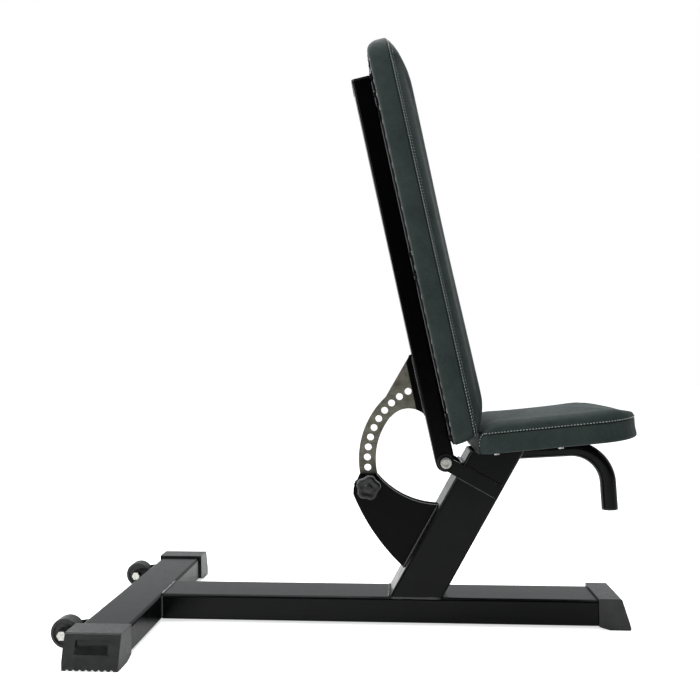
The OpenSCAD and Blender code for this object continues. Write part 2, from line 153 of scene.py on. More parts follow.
def ramp(
    tree: Tree, source: Socket, stops: list[tuple[float, str]]
) -> Socket:
    """Colour ramp through hex stops.

    Args:
        tree: the node tree to add to.
        source: the factor that picks the colour.
        stops: positions from 0 to 1 with their hex colours, in rising order.

    Returns:
        The ramp's colour socket.
    """
    node = add_node(tree, "ShaderNodeValToRGB", links={"Fac": source})
    elements = node.color_ramp.elements
    while len(elements) < len(stops):
        elements.new(0.5)
    for element, (position, code) in zip(elements, stops):
        element.position = position
        element.color = linear(code)
    return node.outputs["Color"]


class Finish(ABC):
    """A finish that can make its Blender material once and hand it out again."""

    name: str

    @abstractmethod
    def shade(self, tree: Tree, shader: Node, place: Socket) -> None:
        """Wire the finish's colour, roughness and relief into the shader.

        Args:
            tree: the material's node tree.
            shader: its Principled BSDF.
            place: object coordinates, in metres.
        """

    def material(self) -> bpy.types.Material:
        """Return the finish's material, making it the first time."""
        made = bpy.data.materials.get(self.name)
        if made is None:
            made = bpy.data.materials.new(self.name)
            made.use_nodes = True
            tree = made.node_tree
            shader = tree.nodes["Principled BSDF"]
            place = add_node(tree, "ShaderNodeTexCoord").outputs["Object"]
            self.shade(tree, shader, place)
        return made


def relief(
    tree: Tree,
    shader: Node,
    height: Socket,
    depth_mm: float,
    under: Socket | None = None,
) -> Socket:
    """Bump the shader's surface by a height from 0 to 1 times a real depth.

    Args:
        tree: the node tree.
        shader: the shader whose normal is bumped.
        height: the height field.
        depth_mm: what a height of 1 stands for.
        under: a normal from a coarser bump that this one adds to.

    Returns:
        The bumped normal.
    """
    bump = add_node(tree, "ShaderNodeBump", {"Strength": 1.0, "Distance": depth_mm * MM}, {"Height": height})
    if under is not None:
        tree.links.new(under, bump.inputs["Normal"])
    tree.links.new(bump.outputs["Normal"], shader.inputs["Normal"])
    return bump.outputs["Normal"]


def noise(
    tree: Tree, place: Socket, size_mm: float, detail: float = 2.0
) -> Socket:
    """Noise whose blotches are size_mm across; returns its factor."""
    settings: Settings = {"Scale": 1.0 / (size_mm * MM), "Detail": detail, "Roughness": 0.55}
    return add_node(tree, "ShaderNodeTexNoise", settings, {"Vector": place}).outputs["Fac"]


def spread(
    tree: Tree, source: Socket, low: float, high: float
) -> Socket:
    """Map noise around its middle, 0.3 to 0.7, onto low to high."""
    settings: Settings = {"From Min": 0.3, "From Max": 0.7, "To Min": low, "To Max": high}
    return add_node(tree, "ShaderNodeMapRange", settings, {"Value": source}).outputs["Result"]


# ---------------------------------------------------------------- finishes


@dataclass(frozen=True)
class PowderCoat(Finish):
    """Epoxy powder coat baked on steel: glossy black, with the soft waves called orange peel."""

    name: str
    tone: str
    tone_dusty: str
    roughness: float
    level: float = 0.16
    peel_mm: float = 2.2
    peel_depth_mm: float = 0.012

    def shade(self, tree: Tree, shader: Node, place: Socket) -> None:
        """Wire a nearly even black, patchy gloss and two sizes of orange peel."""
        patches = noise(tree, place, 60.0, 4.0)
        tree.links.new(
            ramp(tree, patches, [(0.35, self.tone), (0.75, self.tone_dusty)]), shader.inputs["Base Color"]
        )
        gloss = spread(tree, noise(tree, place, 18.0), self.roughness * 0.8, self.roughness * 1.25)
        tree.links.new(gloss, shader.inputs["Roughness"])
        shader.inputs["IOR"].default_value = 1.5
        shader.inputs["Specular IOR Level"].default_value = self.level
        coarse = relief(tree, shader, noise(tree, place, self.peel_mm * 3, 1.0), self.peel_depth_mm * 2)
        relief(tree, shader, noise(tree, place, self.peel_mm, 1.0), self.peel_depth_mm, coarse)


@dataclass(frozen=True)
class GrainedVinyl(Finish):
    """Calendered upholstery vinyl, embossed with a fine leather grain: satin, with soft sheen."""

    name: str
    tone: str
    tone_light: str
    grain_mm: float = 1.5
    grain_depth_mm: float = 0.07
    stitch_pitch_mm: float = 5.7

    def shade(self, tree: Tree, shader: Node, place: Socket) -> None:
        """Wire cell grain and fine creases, darker valleys, and puckers drawn in by the seam's stitches."""
        cells = add_node(
            tree,
            "ShaderNodeTexVoronoi",
            {"feature": "SMOOTH_F1", "Scale": 1.0 / (self.grain_mm * MM), "Smoothness": 0.35},
            {"Vector": place},
        ).outputs["Distance"]
        broad = noise(tree, place, 45.0, 3.0)
        body = ramp(tree, broad, [(0.3, self.tone), (0.75, self.tone_light)])
        valley = spread(tree, cells, 0.0, 0.35)
        tinted = darken(tree, body, valley, "#8c8f8f")
        seam = add_node(tree, "ShaderNodeAttribute", {"attribute_name": "seam_mm"}).outputs["Fac"]
        run = add_node(tree, "ShaderNodeAttribute", {"attribute_name": "run_mm"}).outputs["Fac"]
        # near = exp(-(seam / 1.1)^2): a soft dark line where the two panels meet
        scaled = calc(tree, "DIVIDE", seam, 1.1)
        square = calc(tree, "MULTIPLY", scaled, scaled)
        near = calc(tree, "EXPONENT", calc(tree, "MULTIPLY", square, -1.0))
        lined = darken(tree, tinted, near, "#6a6c6c")
        tree.links.new(lined, shader.inputs["Base Color"])
        tree.links.new(spread(tree, noise(tree, place, 9.0), 0.52, 0.64), shader.inputs["Roughness"])
        shader.inputs["IOR"].default_value = 1.5
        shader.inputs["Specular IOR Level"].default_value = 0.12
        # puckers: a wave along the seam, one per stitch, that dies out over 5 mm either side
        wave = calc(tree, "COSINE", calc(tree, "MULTIPLY", run, 2 * math.pi / self.stitch_pitch_mm))
        fade = calc(tree, "EXPONENT", calc(tree, "MULTIPLY", square, -0.05))
        pucker = calc(tree, "MULTIPLY", wave, fade)
        first = relief(tree, shader, pucker, 0.10)
        second = relief(tree, shader, noise(tree, place, 6.0, 3.0), 0.10, first)
        relief(tree, shader, cells, self.grain_depth_mm, second)


class Lay(Enum):
    """Which way the marks of a worked metal surface run."""

    LINES = (1 / 70.0, 1 / 70.0, 1 / 0.45)
    TURNED = (1 / 0.5, 1 / 9.0, 1 / 0.5)


@dataclass(frozen=True)
class WorkedMetal(Finish):
    """Bare or plated steel with the fine marks its surface was worked with."""

    name: str
    tone: str
    tone_dark: str
    roughness: float
    lay: Lay
    blotch_mm: float = 14.0
    mark_depth_mm: float = 0.012

    def shade(self, tree: Tree, shader: Node, place: Socket) -> None:
        """Wire stretched scratches into colour, roughness and relief, over slow blotches."""
        stretch = add_node(
            tree, "ShaderNodeMapping", {"Scale": tuple(s / MM for s in self.lay.value)}, {"Vector": place}
        ).outputs["Vector"]
        marks = add_node(
            tree, "ShaderNodeTexNoise", {"Scale": 1.0, "Detail": 4.0, "Roughness": 0.6}, {"Vector": stretch}
        ).outputs["Fac"]
        blotches = noise(tree, place, self.blotch_mm, 4.0)
        mixed = add_node(
            tree, "ShaderNodeMix", {"data_type": "FLOAT", "Factor": 0.5}, {"A": marks, "B": blotches}
        ).outputs["Result"]
        tree.links.new(
            ramp(tree, mixed, [(0.36, self.tone_dark), (0.6, self.tone)]), shader.inputs["Base Color"]
        )
        shader.inputs["Metallic"].default_value = 1.0
        rough = spread(tree, marks, self.roughness * 0.75, self.roughness * 1.3)
        tree.links.new(rough, shader.inputs["Roughness"])
        relief(tree, shader, marks, self.mark_depth_mm)


@dataclass(frozen=True)
class MouldedRubber(Finish):
    """Carbon-black rubber from a steel mould: satin, faintly pebbled, with a dusty bloom."""

    name: str
    tone: str
    tone_bloom: str
    roughness: float
    pebble_mm: float = 0.9
    pebble_depth_mm: float = 0.03

    def shade(self, tree: Tree, shader: Node, place: Socket) -> None:
        """Wire bloom patches, uneven gloss and a pebbled relief."""
        bloom = noise(tree, place, 22.0, 5.0)
        tree.links.new(
            ramp(tree, bloom, [(0.4, self.tone), (0.8, self.tone_bloom)]), shader.inputs["Base Color"]
        )
        rough = spread(tree, noise(tree, place, 7.0, 3.0), self.roughness * 0.85, self.roughness * 1.2)
        tree.links.new(rough, shader.inputs["Roughness"])
        shader.inputs["IOR"].default_value = 1.52
        relief(tree, shader, noise(tree, place, self.pebble_mm, 3.0), self.pebble_depth_mm)


@dataclass(frozen=True)
class Plywood(Finish):
    """Rotary-cut plywood stained black: the grain shows only as a change from black to brown-black."""

    name: str
    tone: str
    tone_grain: str
    ring_mm: float = 14.0

    def shade(self, tree: Tree, shader: Node, place: Socket) -> None:
        """Wire distorted bands, stretched along the board, and pores between them."""
        stretch = add_node(
            tree, "ShaderNodeMapping", {"Scale": (0.12, 1.0, 0.12)}, {"Vector": place}
        ).outputs["Vector"]
        bands = add_node(
            tree,
            "ShaderNodeTexWave",
            {"bands_direction": "Y", "Scale": 0.3 / (self.ring_mm * MM), "Distortion": 7.0, "Detail": 3.0},
            {"Vector": stretch},
        ).outputs["Fac"]
        stain = ramp(tree, bands, [(0.2, self.tone), (0.9, self.tone_grain)])
        tree.links.new(stain, shader.inputs["Base Color"])
        tree.links.new(spread(tree, noise(tree, place, 3.0), 0.55, 0.7), shader.inputs["Roughness"])
        relief(tree, shader, noise(tree, stretch, 1.2, 4.0), 0.05)


@dataclass(frozen=True)
class TwistedThread(Finish):
    """Bonded polyester sewing thread: pale, fuzzy, with the slant of its twist."""

    name: str
    tone: str
    twist_mm: float = 0.7

    def shade(self, tree: Tree, shader: Node, place: Socket) -> None:
        """Wire a slanted wave for the twist and a fuzzy roughness."""
        twist = add_node(
            tree,
            "ShaderNodeTexWave",
            {"bands_direction": "DIAGONAL", "Scale": 0.3 / (self.twist_mm * MM), "Distortion": 1.0},
            {"Vector": place},
        ).outputs["Fac"]
        tree.links.new(ramp(tree, twist, [(0.0, "#5f6664"), (0.6, self.tone)]), shader.inputs["Base Color"])
        tree.links.new(spread(tree, noise(tree, place, 0.5), 0.6, 0.85), shader.inputs["Roughness"])
        relief(tree, shader, twist, 0.08)


@dataclass(frozen=True)
class StudioPaper(Finish):
    """Seamless studio paper, lit through from behind: pale and dead matt, brighter away from the camera."""

    name: str
    tone: str

    def shade(self, tree: Tree, shader: Node, place: Socket) -> None:
        """Wire an even pale colour with a faint fibre relief."""
        shader.inputs["Base Color"].default_value = linear(self.tone)
        shader.inputs["Roughness"].default_value = 0.9
        shader.inputs["Specular IOR Level"].default_value = 0.1
        depth = add_node(tree, "ShaderNodeSeparateXYZ", links={"Vector": place}).outputs["Y"]
        far = add_node(
            tree, "ShaderNodeMapRange", {"From Min": -0.5, "From Max": 1.2, "To Max": 0.6}, {"Value": depth}
        ).outputs["Result"]
        eye = add_node(tree, "ShaderNodeLightPath").outputs["Is Camera Ray"]
        glow = calc(tree, "MAXIMUM", eye, far)
        shader.inputs["Emission Color"].default_value = linear("#d9dada")
        tree.links.new(glow, shader.inputs["Emission Strength"])
        relief(tree, shader, noise(tree, place, 3.0), 0.01)


FRAME_COAT = PowderCoat("gloss_black_powder_coat", "#040505", "#090a0b", 0.20, 0.14)
# a darker, less reflective copy of the frame's black coat: painted shade on the back tube, its arc mounts
# and the gussets
SHADED_FRAME_COAT = PowderCoat("black_powder_coat_with_painted_shade", "#020203", "#040405", 0.20, 0.08)
WELD_COAT = PowderCoat("black_powder_coat_on_weld", "#0a0b0c", "#15181a", 0.12, 0.9, 0.9, 0.03)
VINYL = GrainedVinyl("grained_upholstery_vinyl", "#2f3937", "#3a4442")
ARC_STEEL = WorkedMetal("brushed_bare_steel_plate", "#8b897d", "#5c5a50", 0.42, Lay.LINES)
ZINC = WorkedMetal("zinc_plated_steel", "#d8d8d2", "#9a9a94", 0.27, Lay.TURNED, 5.0, 0.006)
BLACK_OXIDE = WorkedMetal("black_oxide_steel", "#2c2d2e", "#161718", 0.38, Lay.TURNED, 6.0, 0.008)
CAP_RUBBER = MouldedRubber("moulded_cap_rubber", "#151616", "#242525", 0.36)
WHEEL_RUBBER = MouldedRubber("moulded_wheel_rubber", "#141515", "#202121", 0.50, 1.4, 0.05)
NYLON = MouldedRubber("spark_textured_black_nylon", "#08090a", "#101112", 0.33, 0.5, 0.02)
BIRCH = Plywood("black_stained_plywood", "#0b0a09", "#17130f")
THREAD = TwistedThread("bonded_polyester_thread", "#c3ccc9")
PAPER = StudioPaper("seamless_studio_paper", "#f4f4f3")

SLOT_FINISH: dict[str, Finish] = {
    "frame_paint": FRAME_COAT,
    "cap_rubber": CAP_RUBBER,
    "wheel_rubber": WHEEL_RUBBER,
    "zinc_steel": ZINC,
    "arc_steel": ARC_STEEL,
    "dark_steel": BLACK_OXIDE,
    "black_plastic": NYLON,
    "board_wood": BIRCH,
    "pad_vinyl": VINYL,
}
# the back tube, its arc mounts and the gussets take the darker copy of the frame coat, which paints shade on
# them
NODE_FINISH: dict[str, Finish] = dict.fromkeys(
    ("back_tube", "arc_mount_left", "arc_mount_right", "gusset_left", "gusset_right"), SHADED_FRAME_COAT
)


# ---------------------------------------------------------------- meshes


def grid_faces(rows: int, columns: int, ring: bool) -> np.ndarray:
    """Quads of a grid whose vertices run row by row.

    Args:
        rows: number of rows.
        columns: vertices in a row.
        ring: whether each row closes on itself.

    Returns:
        Vertex numbers, four to a quad.
    """
    i = np.arange(rows - 1)[:, None]
    j = np.arange(columns if ring else columns - 1)[None, :]
    k = (j + 1) % columns
    quads = np.stack([i * columns + j, i * columns + k, (i + 1) * columns + k, (i + 1) * columns + j], -1)
    return quads.reshape(-1, 4)


def make_piece(
    name: str,
    points: np.ndarray,
    quads: np.ndarray,
    finish: Finish,
    body: str,
    attributes: dict[str, np.ndarray] | None = None,
) -> bpy.types.Object:
    """Make a closed smooth mesh that rides on a body.

    Args:
        name: the piece's name.
        points: vertices in the row frame, in metres.
        quads: vertex numbers, four to a quad; quads with equal corners close a pole.
        finish: its finish.
        body: the body it moves with.
        attributes: per-vertex numbers that the finish reads.

    Returns:
        The new object, at the origin.
    """
    mesh = bpy.data.meshes.new(name)
    mesh.from_pydata(points.reshape(-1, 3).tolist(), [], quads.tolist())
    for title, values in (attributes or {}).items():
        layer = mesh.attributes.new(title, "FLOAT", "POINT")
        layer.data.foreach_set("value", values.ravel().astype(np.float32))
    work = bmesh.new()
    work.from_mesh(mesh)
    bmesh.ops.remove_doubles(work, verts=work.verts, dist=2e-6)
    bmesh.ops.recalc_face_normals(work, faces=work.faces)
    work.to_mesh(mesh)
    work.free()
    mesh.polygons.foreach_set("use_smooth", np.ones(len(mesh.polygons), bool))
    mesh.validate()
    piece = bpy.data.objects.new(name, mesh)
    bpy.context.scene.collection.objects.link(piece)
    mesh.materials.append(finish.material())
    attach(piece, body)
    LOG.info("%s: %d faces on %s", name, len(mesh.polygons), body)
    return piece


def unit(vectors: np.ndarray) -> np.ndarray:
    """Scale vectors along the last axis to length 1."""
    return vectors / np.maximum(np.linalg.norm(vectors, axis=-1, keepdims=True), 1e-12)


@dataclass(frozen=True)
class Frame2:
    """A side-view frame of a sub-assembly: an origin in the centre plane and a tilt about Y.

    origin: the frame's origin in the row frame, in mm.
    tilt: how far its own X axis leans down from horizontal, in degrees.
    """

    origin: tuple[float, float, float]
    tilt: float

    def place(self, x: np.ndarray, y: np.ndarray, z: np.ndarray) -> np.ndarray:
        """Map frame coordinates to the row frame.

        A point is o + x (cos t, 0, -sin t) + y (0, 1, 0) + z (sin t, 0, cos t).

        Args:
            x: along the frame's own X, in mm.
            y: across the bench, in mm.
            z: along the frame's own Z, in mm.

        Returns:
            Points in metres.
        """
        t = math.radians(self.tilt)
        x, y, z = np.broadcast_arrays(np.asarray(x, float), np.asarray(y, float), np.asarray(z, float))
        out = np.stack([x * math.cos(t) + z * math.sin(t), y, z * math.cos(t) - x * math.sin(t)], -1)
        return (out + np.array(self.origin)) * MM


@dataclass(frozen=True)
class BenchFrames:
    """The frames that the bench is drawn in, from its record and its own leans."""

    back_lean: float = 11.7
    post_lean: float = 29.5
    seat_tilt: float = 5.5
    pivot: tuple[float, float, float] = (188.0, 0.0, 316.5)

    @property
    def row(self) -> Frame2:
        """The row frame itself."""
        return Frame2((0.0, 0.0, 0.0), 0.0)

    @property
    def back(self) -> Frame2:
        """X out of the back's front face, Z up the back, origin in the pivot."""
        return Frame2(self.pivot, -self.back_lean)

    @property
    def arm(self) -> Frame2:
        """X down along the pivot arms, Z across them, origin in the pivot."""
        return Frame2(self.pivot, self.post_lean)

    @property
    def seat(self) -> Frame2:
        """X along the seat to its front, Z out of the seat, origin on the seat plate over the post."""
        return Frame2((289.5, 0.0, 347.0), -self.seat_tilt)


# ---------------------------------------------------------------- pads


@dataclass
class Cushion:
    """A box cushion over a board: side panel, stitched seam, rounded shoulder and crowned face.

    Along its outline a point has the run s; across the cushion it has the height w over the board's back.
    A surface point is outline(s) + d * inward(s), at height w, for pairs (d, w) of a profile.
    """

    name: str
    node: str
    body: str
    frame: Frame2
    upright: bool
    face: float
    low: float
    high: float
    width: float
    corner_low: float
    corner_high: float
    spacing: float
    round_low: float
    taper_high: float
    heel_low: float
    heel_high: float
    second_row: bool
    seam_drops: bool
    thick: float = 64.0
    seam: float = 35.0
    slack: float = 2.5
    flap: float = 26.0
    flap_proud: float = 0.8
    taper_drop: float = 20.0
    shoulder_side: float = 27.0
    shoulder_ends: float = 9.0
    heel_side: float = 7.0
    crown: float = 2.5
    groove: float = 0.6
    drop_at: float = 5.0
    drop_turn: float = 14.0
    puff_cap: float = 6.0
    pressure: float = 4.0
    frames: int = 20
    spine: float = 0.88
    held_rows: int = 9
    held_seam: float = 1.6
    run: np.ndarray = field(init=False)
    plain_heights: np.ndarray = field(init=False)
    row_heights: np.ndarray = field(init=False)
    seam_row: int = field(init=False)
    shoulder_end: int = field(init=False)
    surface: np.ndarray = field(init=False)

    def outline(self) -> tuple[np.ndarray, np.ndarray, np.ndarray]:
        """Rounded rectangle, symmetric about y = 0, from the middle of the low end round and back.

        Returns:
            Run s, points (u, y) and outward normals, all in mm.
        """
        half = self.width / 2
        r0, r1 = self.corner_low, self.corner_high

        def line(a: tuple[float, float], b: tuple[float, float], n: tuple[float, float]) -> np.ndarray:
            """Evenly spaced points from a, short of b, with their normal."""
            count = max(3, round(math.dist(a, b) / self.spacing))
            t = np.arange(count)[:, None] / count
            return np.hstack([np.array(a) + t * (np.array(b) - np.array(a)), np.tile(n, (count, 1))])

        def arc(centre: tuple[float, float], r: float, start: float) -> np.ndarray:
            """A quarter turn from angle start, clockwise in (u, y), with its normals."""
            count = max(8, round(r * math.pi / 2 / self.spacing * 1.3))
            a = math.radians(start) - np.arange(count) / count * math.pi / 2
            n = np.stack([np.cos(a), np.sin(a)], -1)
            return np.hstack([np.array(centre) + r * n, n])

        side = np.vstack(
            [
                line((self.low, 0.0), (self.low, half - r0), (-1.0, 0.0)),
                arc((self.low + r0, half - r0), r0, 180.0),
                line((self.low + r0, half), (self.high - r1, half), (0.0, 1.0)),
                arc((self.high - r1, half - r1), r1, 90.0),
                line((self.high, half - r1), (self.high, 0.0), (1.0, 0.0)),
                np.array([[self.high, 0.0, 1.0, 0.0]]),
            ]
        )
        whole = np.vstack([side, side[-2:0:-1] * np.array([1.0, -1.0, 1.0, -1.0])])
        steps = np.linalg.norm(np.diff(whole[:, :2], axis=0), axis=1)
        return np.concatenate([[0.0], np.cumsum(steps)]), whole[:, :2], whole[:, 2:]

    def low_inset(self, w: np.ndarray | float) -> np.ndarray:
        """How far the low end stands back from its outline at height w.

        A quarter circle that ends at the full thickness T: R - (R^2 - (w - (T - R))^2)^(1/2).
        """
        r = self.round_low
        rise = np.maximum(w - (self.thick - r), 0.0)
        return r - np.sqrt(np.maximum(r * r - rise * rise, 0.0))

    def roof(self, u: np.ndarray) -> np.ndarray:
        """Full thickness at u, in mm: the lower of the low end's circle and the high end's taper.

        Circle: T - R + (R^2 - (R - s)^2)^(1/2), s from the low end. Taper: T - D (1 - s / L)^2.3,
        s from the high end.
        """
        r = self.round_low
        short = np.maximum(r - np.maximum(u - self.low, 0.0), 0.0)
        circle = self.thick - r + np.sqrt(np.maximum(r * r - short * short, 0.0))
        share = np.clip(1 - np.maximum(self.high - u, 0.0) / self.taper_high, 0.0, 1.0)
        return np.minimum(circle, self.thick - self.taper_drop * share**2.3)

    def build_surface(self) -> np.ndarray:
        """Work the closed surface out as rows of the profile by columns of the outline.

        Returns:
            Points (u, y, w) in mm, rows by columns by 3. The first and last rows lie on the cushion's
            centre line and close it.
        """
        run, rim, normal = self.outline()
        self.run = run
        half = self.width / 2
        middle = np.clip(rim[:, 0], self.low + self.spine * half, self.high - self.spine * half)
        centre = np.stack([middle, rim[:, 0] * 0], -1)
        reach = np.linalg.norm(centre - rim, axis=1)
        inward = (centre - rim) / reach[:, None]
        lift_low = np.clip(-normal[:, 0], 0, 1) ** 2
        lift_high = np.clip(normal[:, 0], 0, 1) ** 2
        side_share = 1 - lift_low - lift_high

        def blend(side: float, low: float, high: float) -> np.ndarray:
            """A size that is side along the long sides, low and high at the two ends."""
            return side * side_share + low * lift_low + high * lift_high

        foot = float(self.low_inset(self.seam)) * lift_low
        heel = blend(self.heel_side, self.heel_low, self.heel_high)
        base = -self.flap_proud
        rows: list[tuple[np.ndarray, np.ndarray]] = [(reach, run * 0 + 6.0)]
        rows += [(run * 0 + self.flap, run * 0 + w) for w in (6.0, base + 0.5)]
        rows += [(self.flap - 0.6 + run * 0, run * 0 + base), (heel + 4.0, run * 0 + base)]
        for turn in np.radians(np.linspace(0, 90, 7)):
            rows.append((heel * (1 - math.sin(turn)), base + heel * (1 - math.cos(turn))))
        top_of_heel = base + heel
        for t in (0.25, 0.5, 0.75):
            w = top_of_heel + t * (self.seam - 2.4 - top_of_heel)
            rows.append((self.low_inset(w) * lift_low, w))
        pinch = ((-2.4, 0.0), (-1.4, 0.25), (-0.6, 0.8), (0.0, 1.0), (0.6, 0.8), (1.4, 0.25), (2.5, 0.0))
        seam_row = len(rows) + 3
        rows += [(self.low_inset(self.seam + w) * lift_low, run * 0 + self.seam + w) for w, _ in pinch]
        start = self.seam + 2.5
        rise = self.thick - self.crown - start
        shoulder = blend(self.shoulder_side, self.shoulder_ends, self.shoulder_ends)
        for turn in np.radians([10, 17, 26, 36, 46, 56, 66, 76, 84, 90]):
            w = start + rise * math.sin(turn)
            rows.append((foot + shoulder * (1 - math.cos(turn)), run * 0 + w))
        shoulder_end = len(rows) - 1
        shoulder = foot + shoulder
        for f in np.linspace(0, 1, 14)[1:]:
            d = shoulder + f * (reach - shoulder)
            rows.append((d, run * 0 + self.thick - self.crown * (1 - f) ** 2))
        self.seam_row, self.shoulder_end = seam_row, shoulder_end
        inset = np.array([d for d, _ in rows])
        height = np.array([w for _, w in rows])
        slack = self.slack * np.sin(np.pi * np.clip((height - 2.0) / (2 * self.seam), 0, 1)) ** 0.5
        slack[:5] = 0.0
        moved = np.minimum(inset + slack, reach)
        flat = rim[None] + moved[..., None] * inward[None]
        self.plain_heights = height
        share = (self.roof(flat[..., 0]) - self.seam) / (self.thick - self.seam)
        above = np.maximum(height - self.seam, 0.0)
        self.row_heights = np.where(height > self.seam, self.seam + above * np.maximum(share, 0.04), height)
        return np.dstack([flat, self.row_heights])

    def to_row(self, grid: np.ndarray) -> np.ndarray:
        """Map (u, y, w) in mm to the row frame in metres."""
        u, y, w = grid[..., 0], grid[..., 1], grid[..., 2]
        if self.upright:
            return self.frame.place(self.face + w, y, u)
        return self.frame.place(u, y, self.face + w)

    def seam_distance(self) -> np.ndarray:
        """Signed distance of every grid point to the seam line, in mm along the surface.

        The seam runs at w = seam. Where it drops, it turns down round a quarter circle of radius
        drop_turn into a vertical line at the run where the outline is drop_at in from the low end.

        Returns:
            Distances, rows by columns; positive on the crowned side.
        """
        w = self.plain_heights
        level = w - self.seam
        if not self.seam_drops:
            return level
        s = np.minimum(self.run, self.run[-1] + self.spacing - self.run)[None, :]
        x = s - (self.drop_run() + self.drop_turn)
        z = w - (self.seam - self.drop_turn)
        corner = np.hypot(x, z) - self.drop_turn
        return np.where(x >= 0, level, np.where(z <= 0, -x - self.drop_turn, corner))

    def drop_run(self) -> float:
        """Run at which the outline is drop_at in from the low end."""
        _, rim, _ = self.outline()
        first = rim[: len(rim) // 2, 0]
        return float(np.interp(self.low + self.drop_at, first, self.run[: len(first)]))

    def inflate(self, points: np.ndarray, quads: np.ndarray, pins: np.ndarray) -> np.ndarray:
        """Blow the cover up as cloth, held at the board and the seam.

        Args:
            points: vertices in metres.
            quads: the faces.
            pins: 0 for free, 1 for held.

        Returns:
            Where the vertices come to rest.
        """
        scene = bpy.context.scene
        mesh = bpy.data.meshes.new("cover_work")
        mesh.from_pydata(points.tolist(), [], quads.tolist())
        cover = bpy.data.objects.new("cover_work", mesh)
        scene.collection.objects.link(cover)
        group = cover.vertex_groups.new(name="held")
        for weight in np.unique(pins):
            if weight > 0:
                group.add(np.flatnonzero(pins == weight).tolist(), float(weight), "REPLACE")
        cloth = cover.modifiers.new("cloth", "CLOTH")
        settings = cloth.settings
        settings.vertex_group_mass = "held"
        settings.use_pressure = True
        settings.uniform_pressure_force = self.pressure
        settings.quality = 5
        settings.mass = 0.3
        settings.tension_stiffness = 20.0
        settings.compression_stiffness = 12.0
        settings.shear_stiffness = 8.0
        settings.bending_stiffness = 0.6
        settings.effector_weights.gravity = 0.0
        cloth.collision_settings.use_collision = False
        cloth.point_cache.frame_start = 1
        cloth.point_cache.frame_end = self.frames
        for step in range(1, self.frames + 1):
            scene.frame_set(step)
        evaluated = cover.evaluated_get(bpy.context.evaluated_depsgraph_get())
        settled = np.zeros(len(points) * 3, np.float32)
        evaluated.data.vertices.foreach_get("co", settled)
        bpy.data.objects.remove(cover)
        scene.frame_set(1)
        return settled.reshape(-1, 3).astype(float)

    def build(self) -> None:
        """Make the cushion, its stitching and its staples."""
        grid = self.build_surface()
        rows, columns = grid.shape[:2]
        rest = self.to_row(grid)
        quads = grid_faces(rows, columns, True)
        seam = self.seam_distance()
        flat = rest.reshape(-1, 3)
        # equal points on the two centre rows become one vertex, so the cover is closed while blown up
        _, keep, back = np.unique(np.round(flat, 7), axis=0, return_index=True, return_inverse=True)
        back = back.reshape(-1)
        joined = back[quads]
        good = np.array([len(set(q)) for q in joined.tolist()]) == 4
        held = np.zeros((rows, columns))
        held[: self.held_rows] = 1.0
        held[np.abs(seam) < self.held_seam] = 1.0
        pins = held.ravel()
        moved = rest
        triangles = [list(dict.fromkeys(q)) for q in joined[~good].tolist()]
        faces = joined[good].tolist() + [t for t in triangles if len(t) == 3]
        settled = self.inflate(flat[keep], np.array(faces, object), pins[keep])
        shift = settled[back].reshape(rest.shape) - rest
        size = np.linalg.norm(shift, axis=-1, keepdims=True)
        cap = self.puff_cap * MM
        LOG.info("%s: cover moved %.1f mm at most before the cap", self.name, size.max() / MM)
        shift *= cap * np.tanh(size / cap) / np.maximum(size, 1e-9)
        moved = rest + shift
        along = np.roll(moved, -1, 1) - np.roll(moved, 1, 1)
        across = np.gradient(moved, axis=0)
        normal = unit(np.cross(along, across))
        middle = moved[rows // 2].mean(0)
        if np.mean(np.sum(normal[self.seam_row] * (moved[self.seam_row] - middle), -1)) < 0:
            normal = -normal
        normal[0] = normal[-1] = 0.0
        side_rows = (self.row_heights > 1.0) & (np.arange(rows)[:, None] > 7)
        dent = self.groove * np.exp(-((seam / 1.5) ** 2)) * side_rows
        roll = 0.15 * np.exp(-(((np.abs(seam) - 3.6) / 1.8) ** 2)) * side_rows
        self.surface = moved + normal * ((roll - dent) * MM)[..., None]
        runs = np.broadcast_to(self.run, (rows, columns))
        piece = make_piece(
            self.name, self.surface, quads, VINYL, self.body, {"seam_mm": seam, "run_mm": runs}
        )
        smooth = piece.modifiers.new("smooth", "SUBSURF")
        smooth.levels = smooth.render_levels = 1
        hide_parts(self.node)
        self.stitch()
        self.staple()

    def sample(self, run: np.ndarray, height: np.ndarray) -> np.ndarray:
        """Surface points at given runs and heights on the side, seam and shoulder, by bilinear blending.

        Args:
            run: runs s, in mm.
            height: heights w, in mm.

        Returns:
            Points in metres.
        """
        first, last = 11, self.shoulder_end
        levels = self.row_heights[first : last + 1]
        column = np.interp(run, self.run, np.arange(len(self.run)))
        c0 = np.floor(column).astype(int) % len(self.run)
        c1 = (c0 + 1) % len(self.run)
        f = (column - np.floor(column))[:, None]
        own = levels[:, c0].T
        above = np.clip((own <= height[:, None]).sum(1) - 1, 0, len(levels) - 2)
        pick = np.arange(len(run))
        low, high = own[pick, above], own[pick, above + 1]
        g = np.clip((height - low) / np.maximum(high - low, 1e-6), 0, 1)[:, None]
        lower = self.surface[first + above, c0] * (1 - f) + self.surface[first + above, c1] * f
        upper = self.surface[first + above + 1, c0] * (1 - f) + self.surface[first + above + 1, c1] * f
        return lower * (1 - g) + upper * g

    def seam_path(self, off: float, pitch: float) -> tuple[np.ndarray, np.ndarray]:
        """Points beside the seam at equal steps, off mm onto the crowned side.

        Args:
            off: distance from the seam line.
            pitch: step along the path.

        Returns:
            Runs and heights.
        """
        total = self.run[-1]
        if not self.seam_drops:
            run = np.arange(pitch / 2, total, pitch)
            return run, run * 0 + self.seam + off
        drop, turn = self.drop_run(), self.drop_turn
        centre = (drop + turn, self.seam - turn)
        radius = turn + off
        up = np.arange(4.0, centre[1], pitch)
        angles = np.arange(0, math.pi / 2, pitch / radius)
        level = np.arange(centre[0], total / 2, pitch)
        run = np.concatenate([up * 0 + drop - off, centre[0] - radius * np.cos(angles), level])
        height = np.concatenate([up, centre[1] + radius * np.sin(angles), level * 0 + self.seam + off])
        return np.concatenate([run, total - run[::-1]]), np.concatenate([height, height[::-1]])

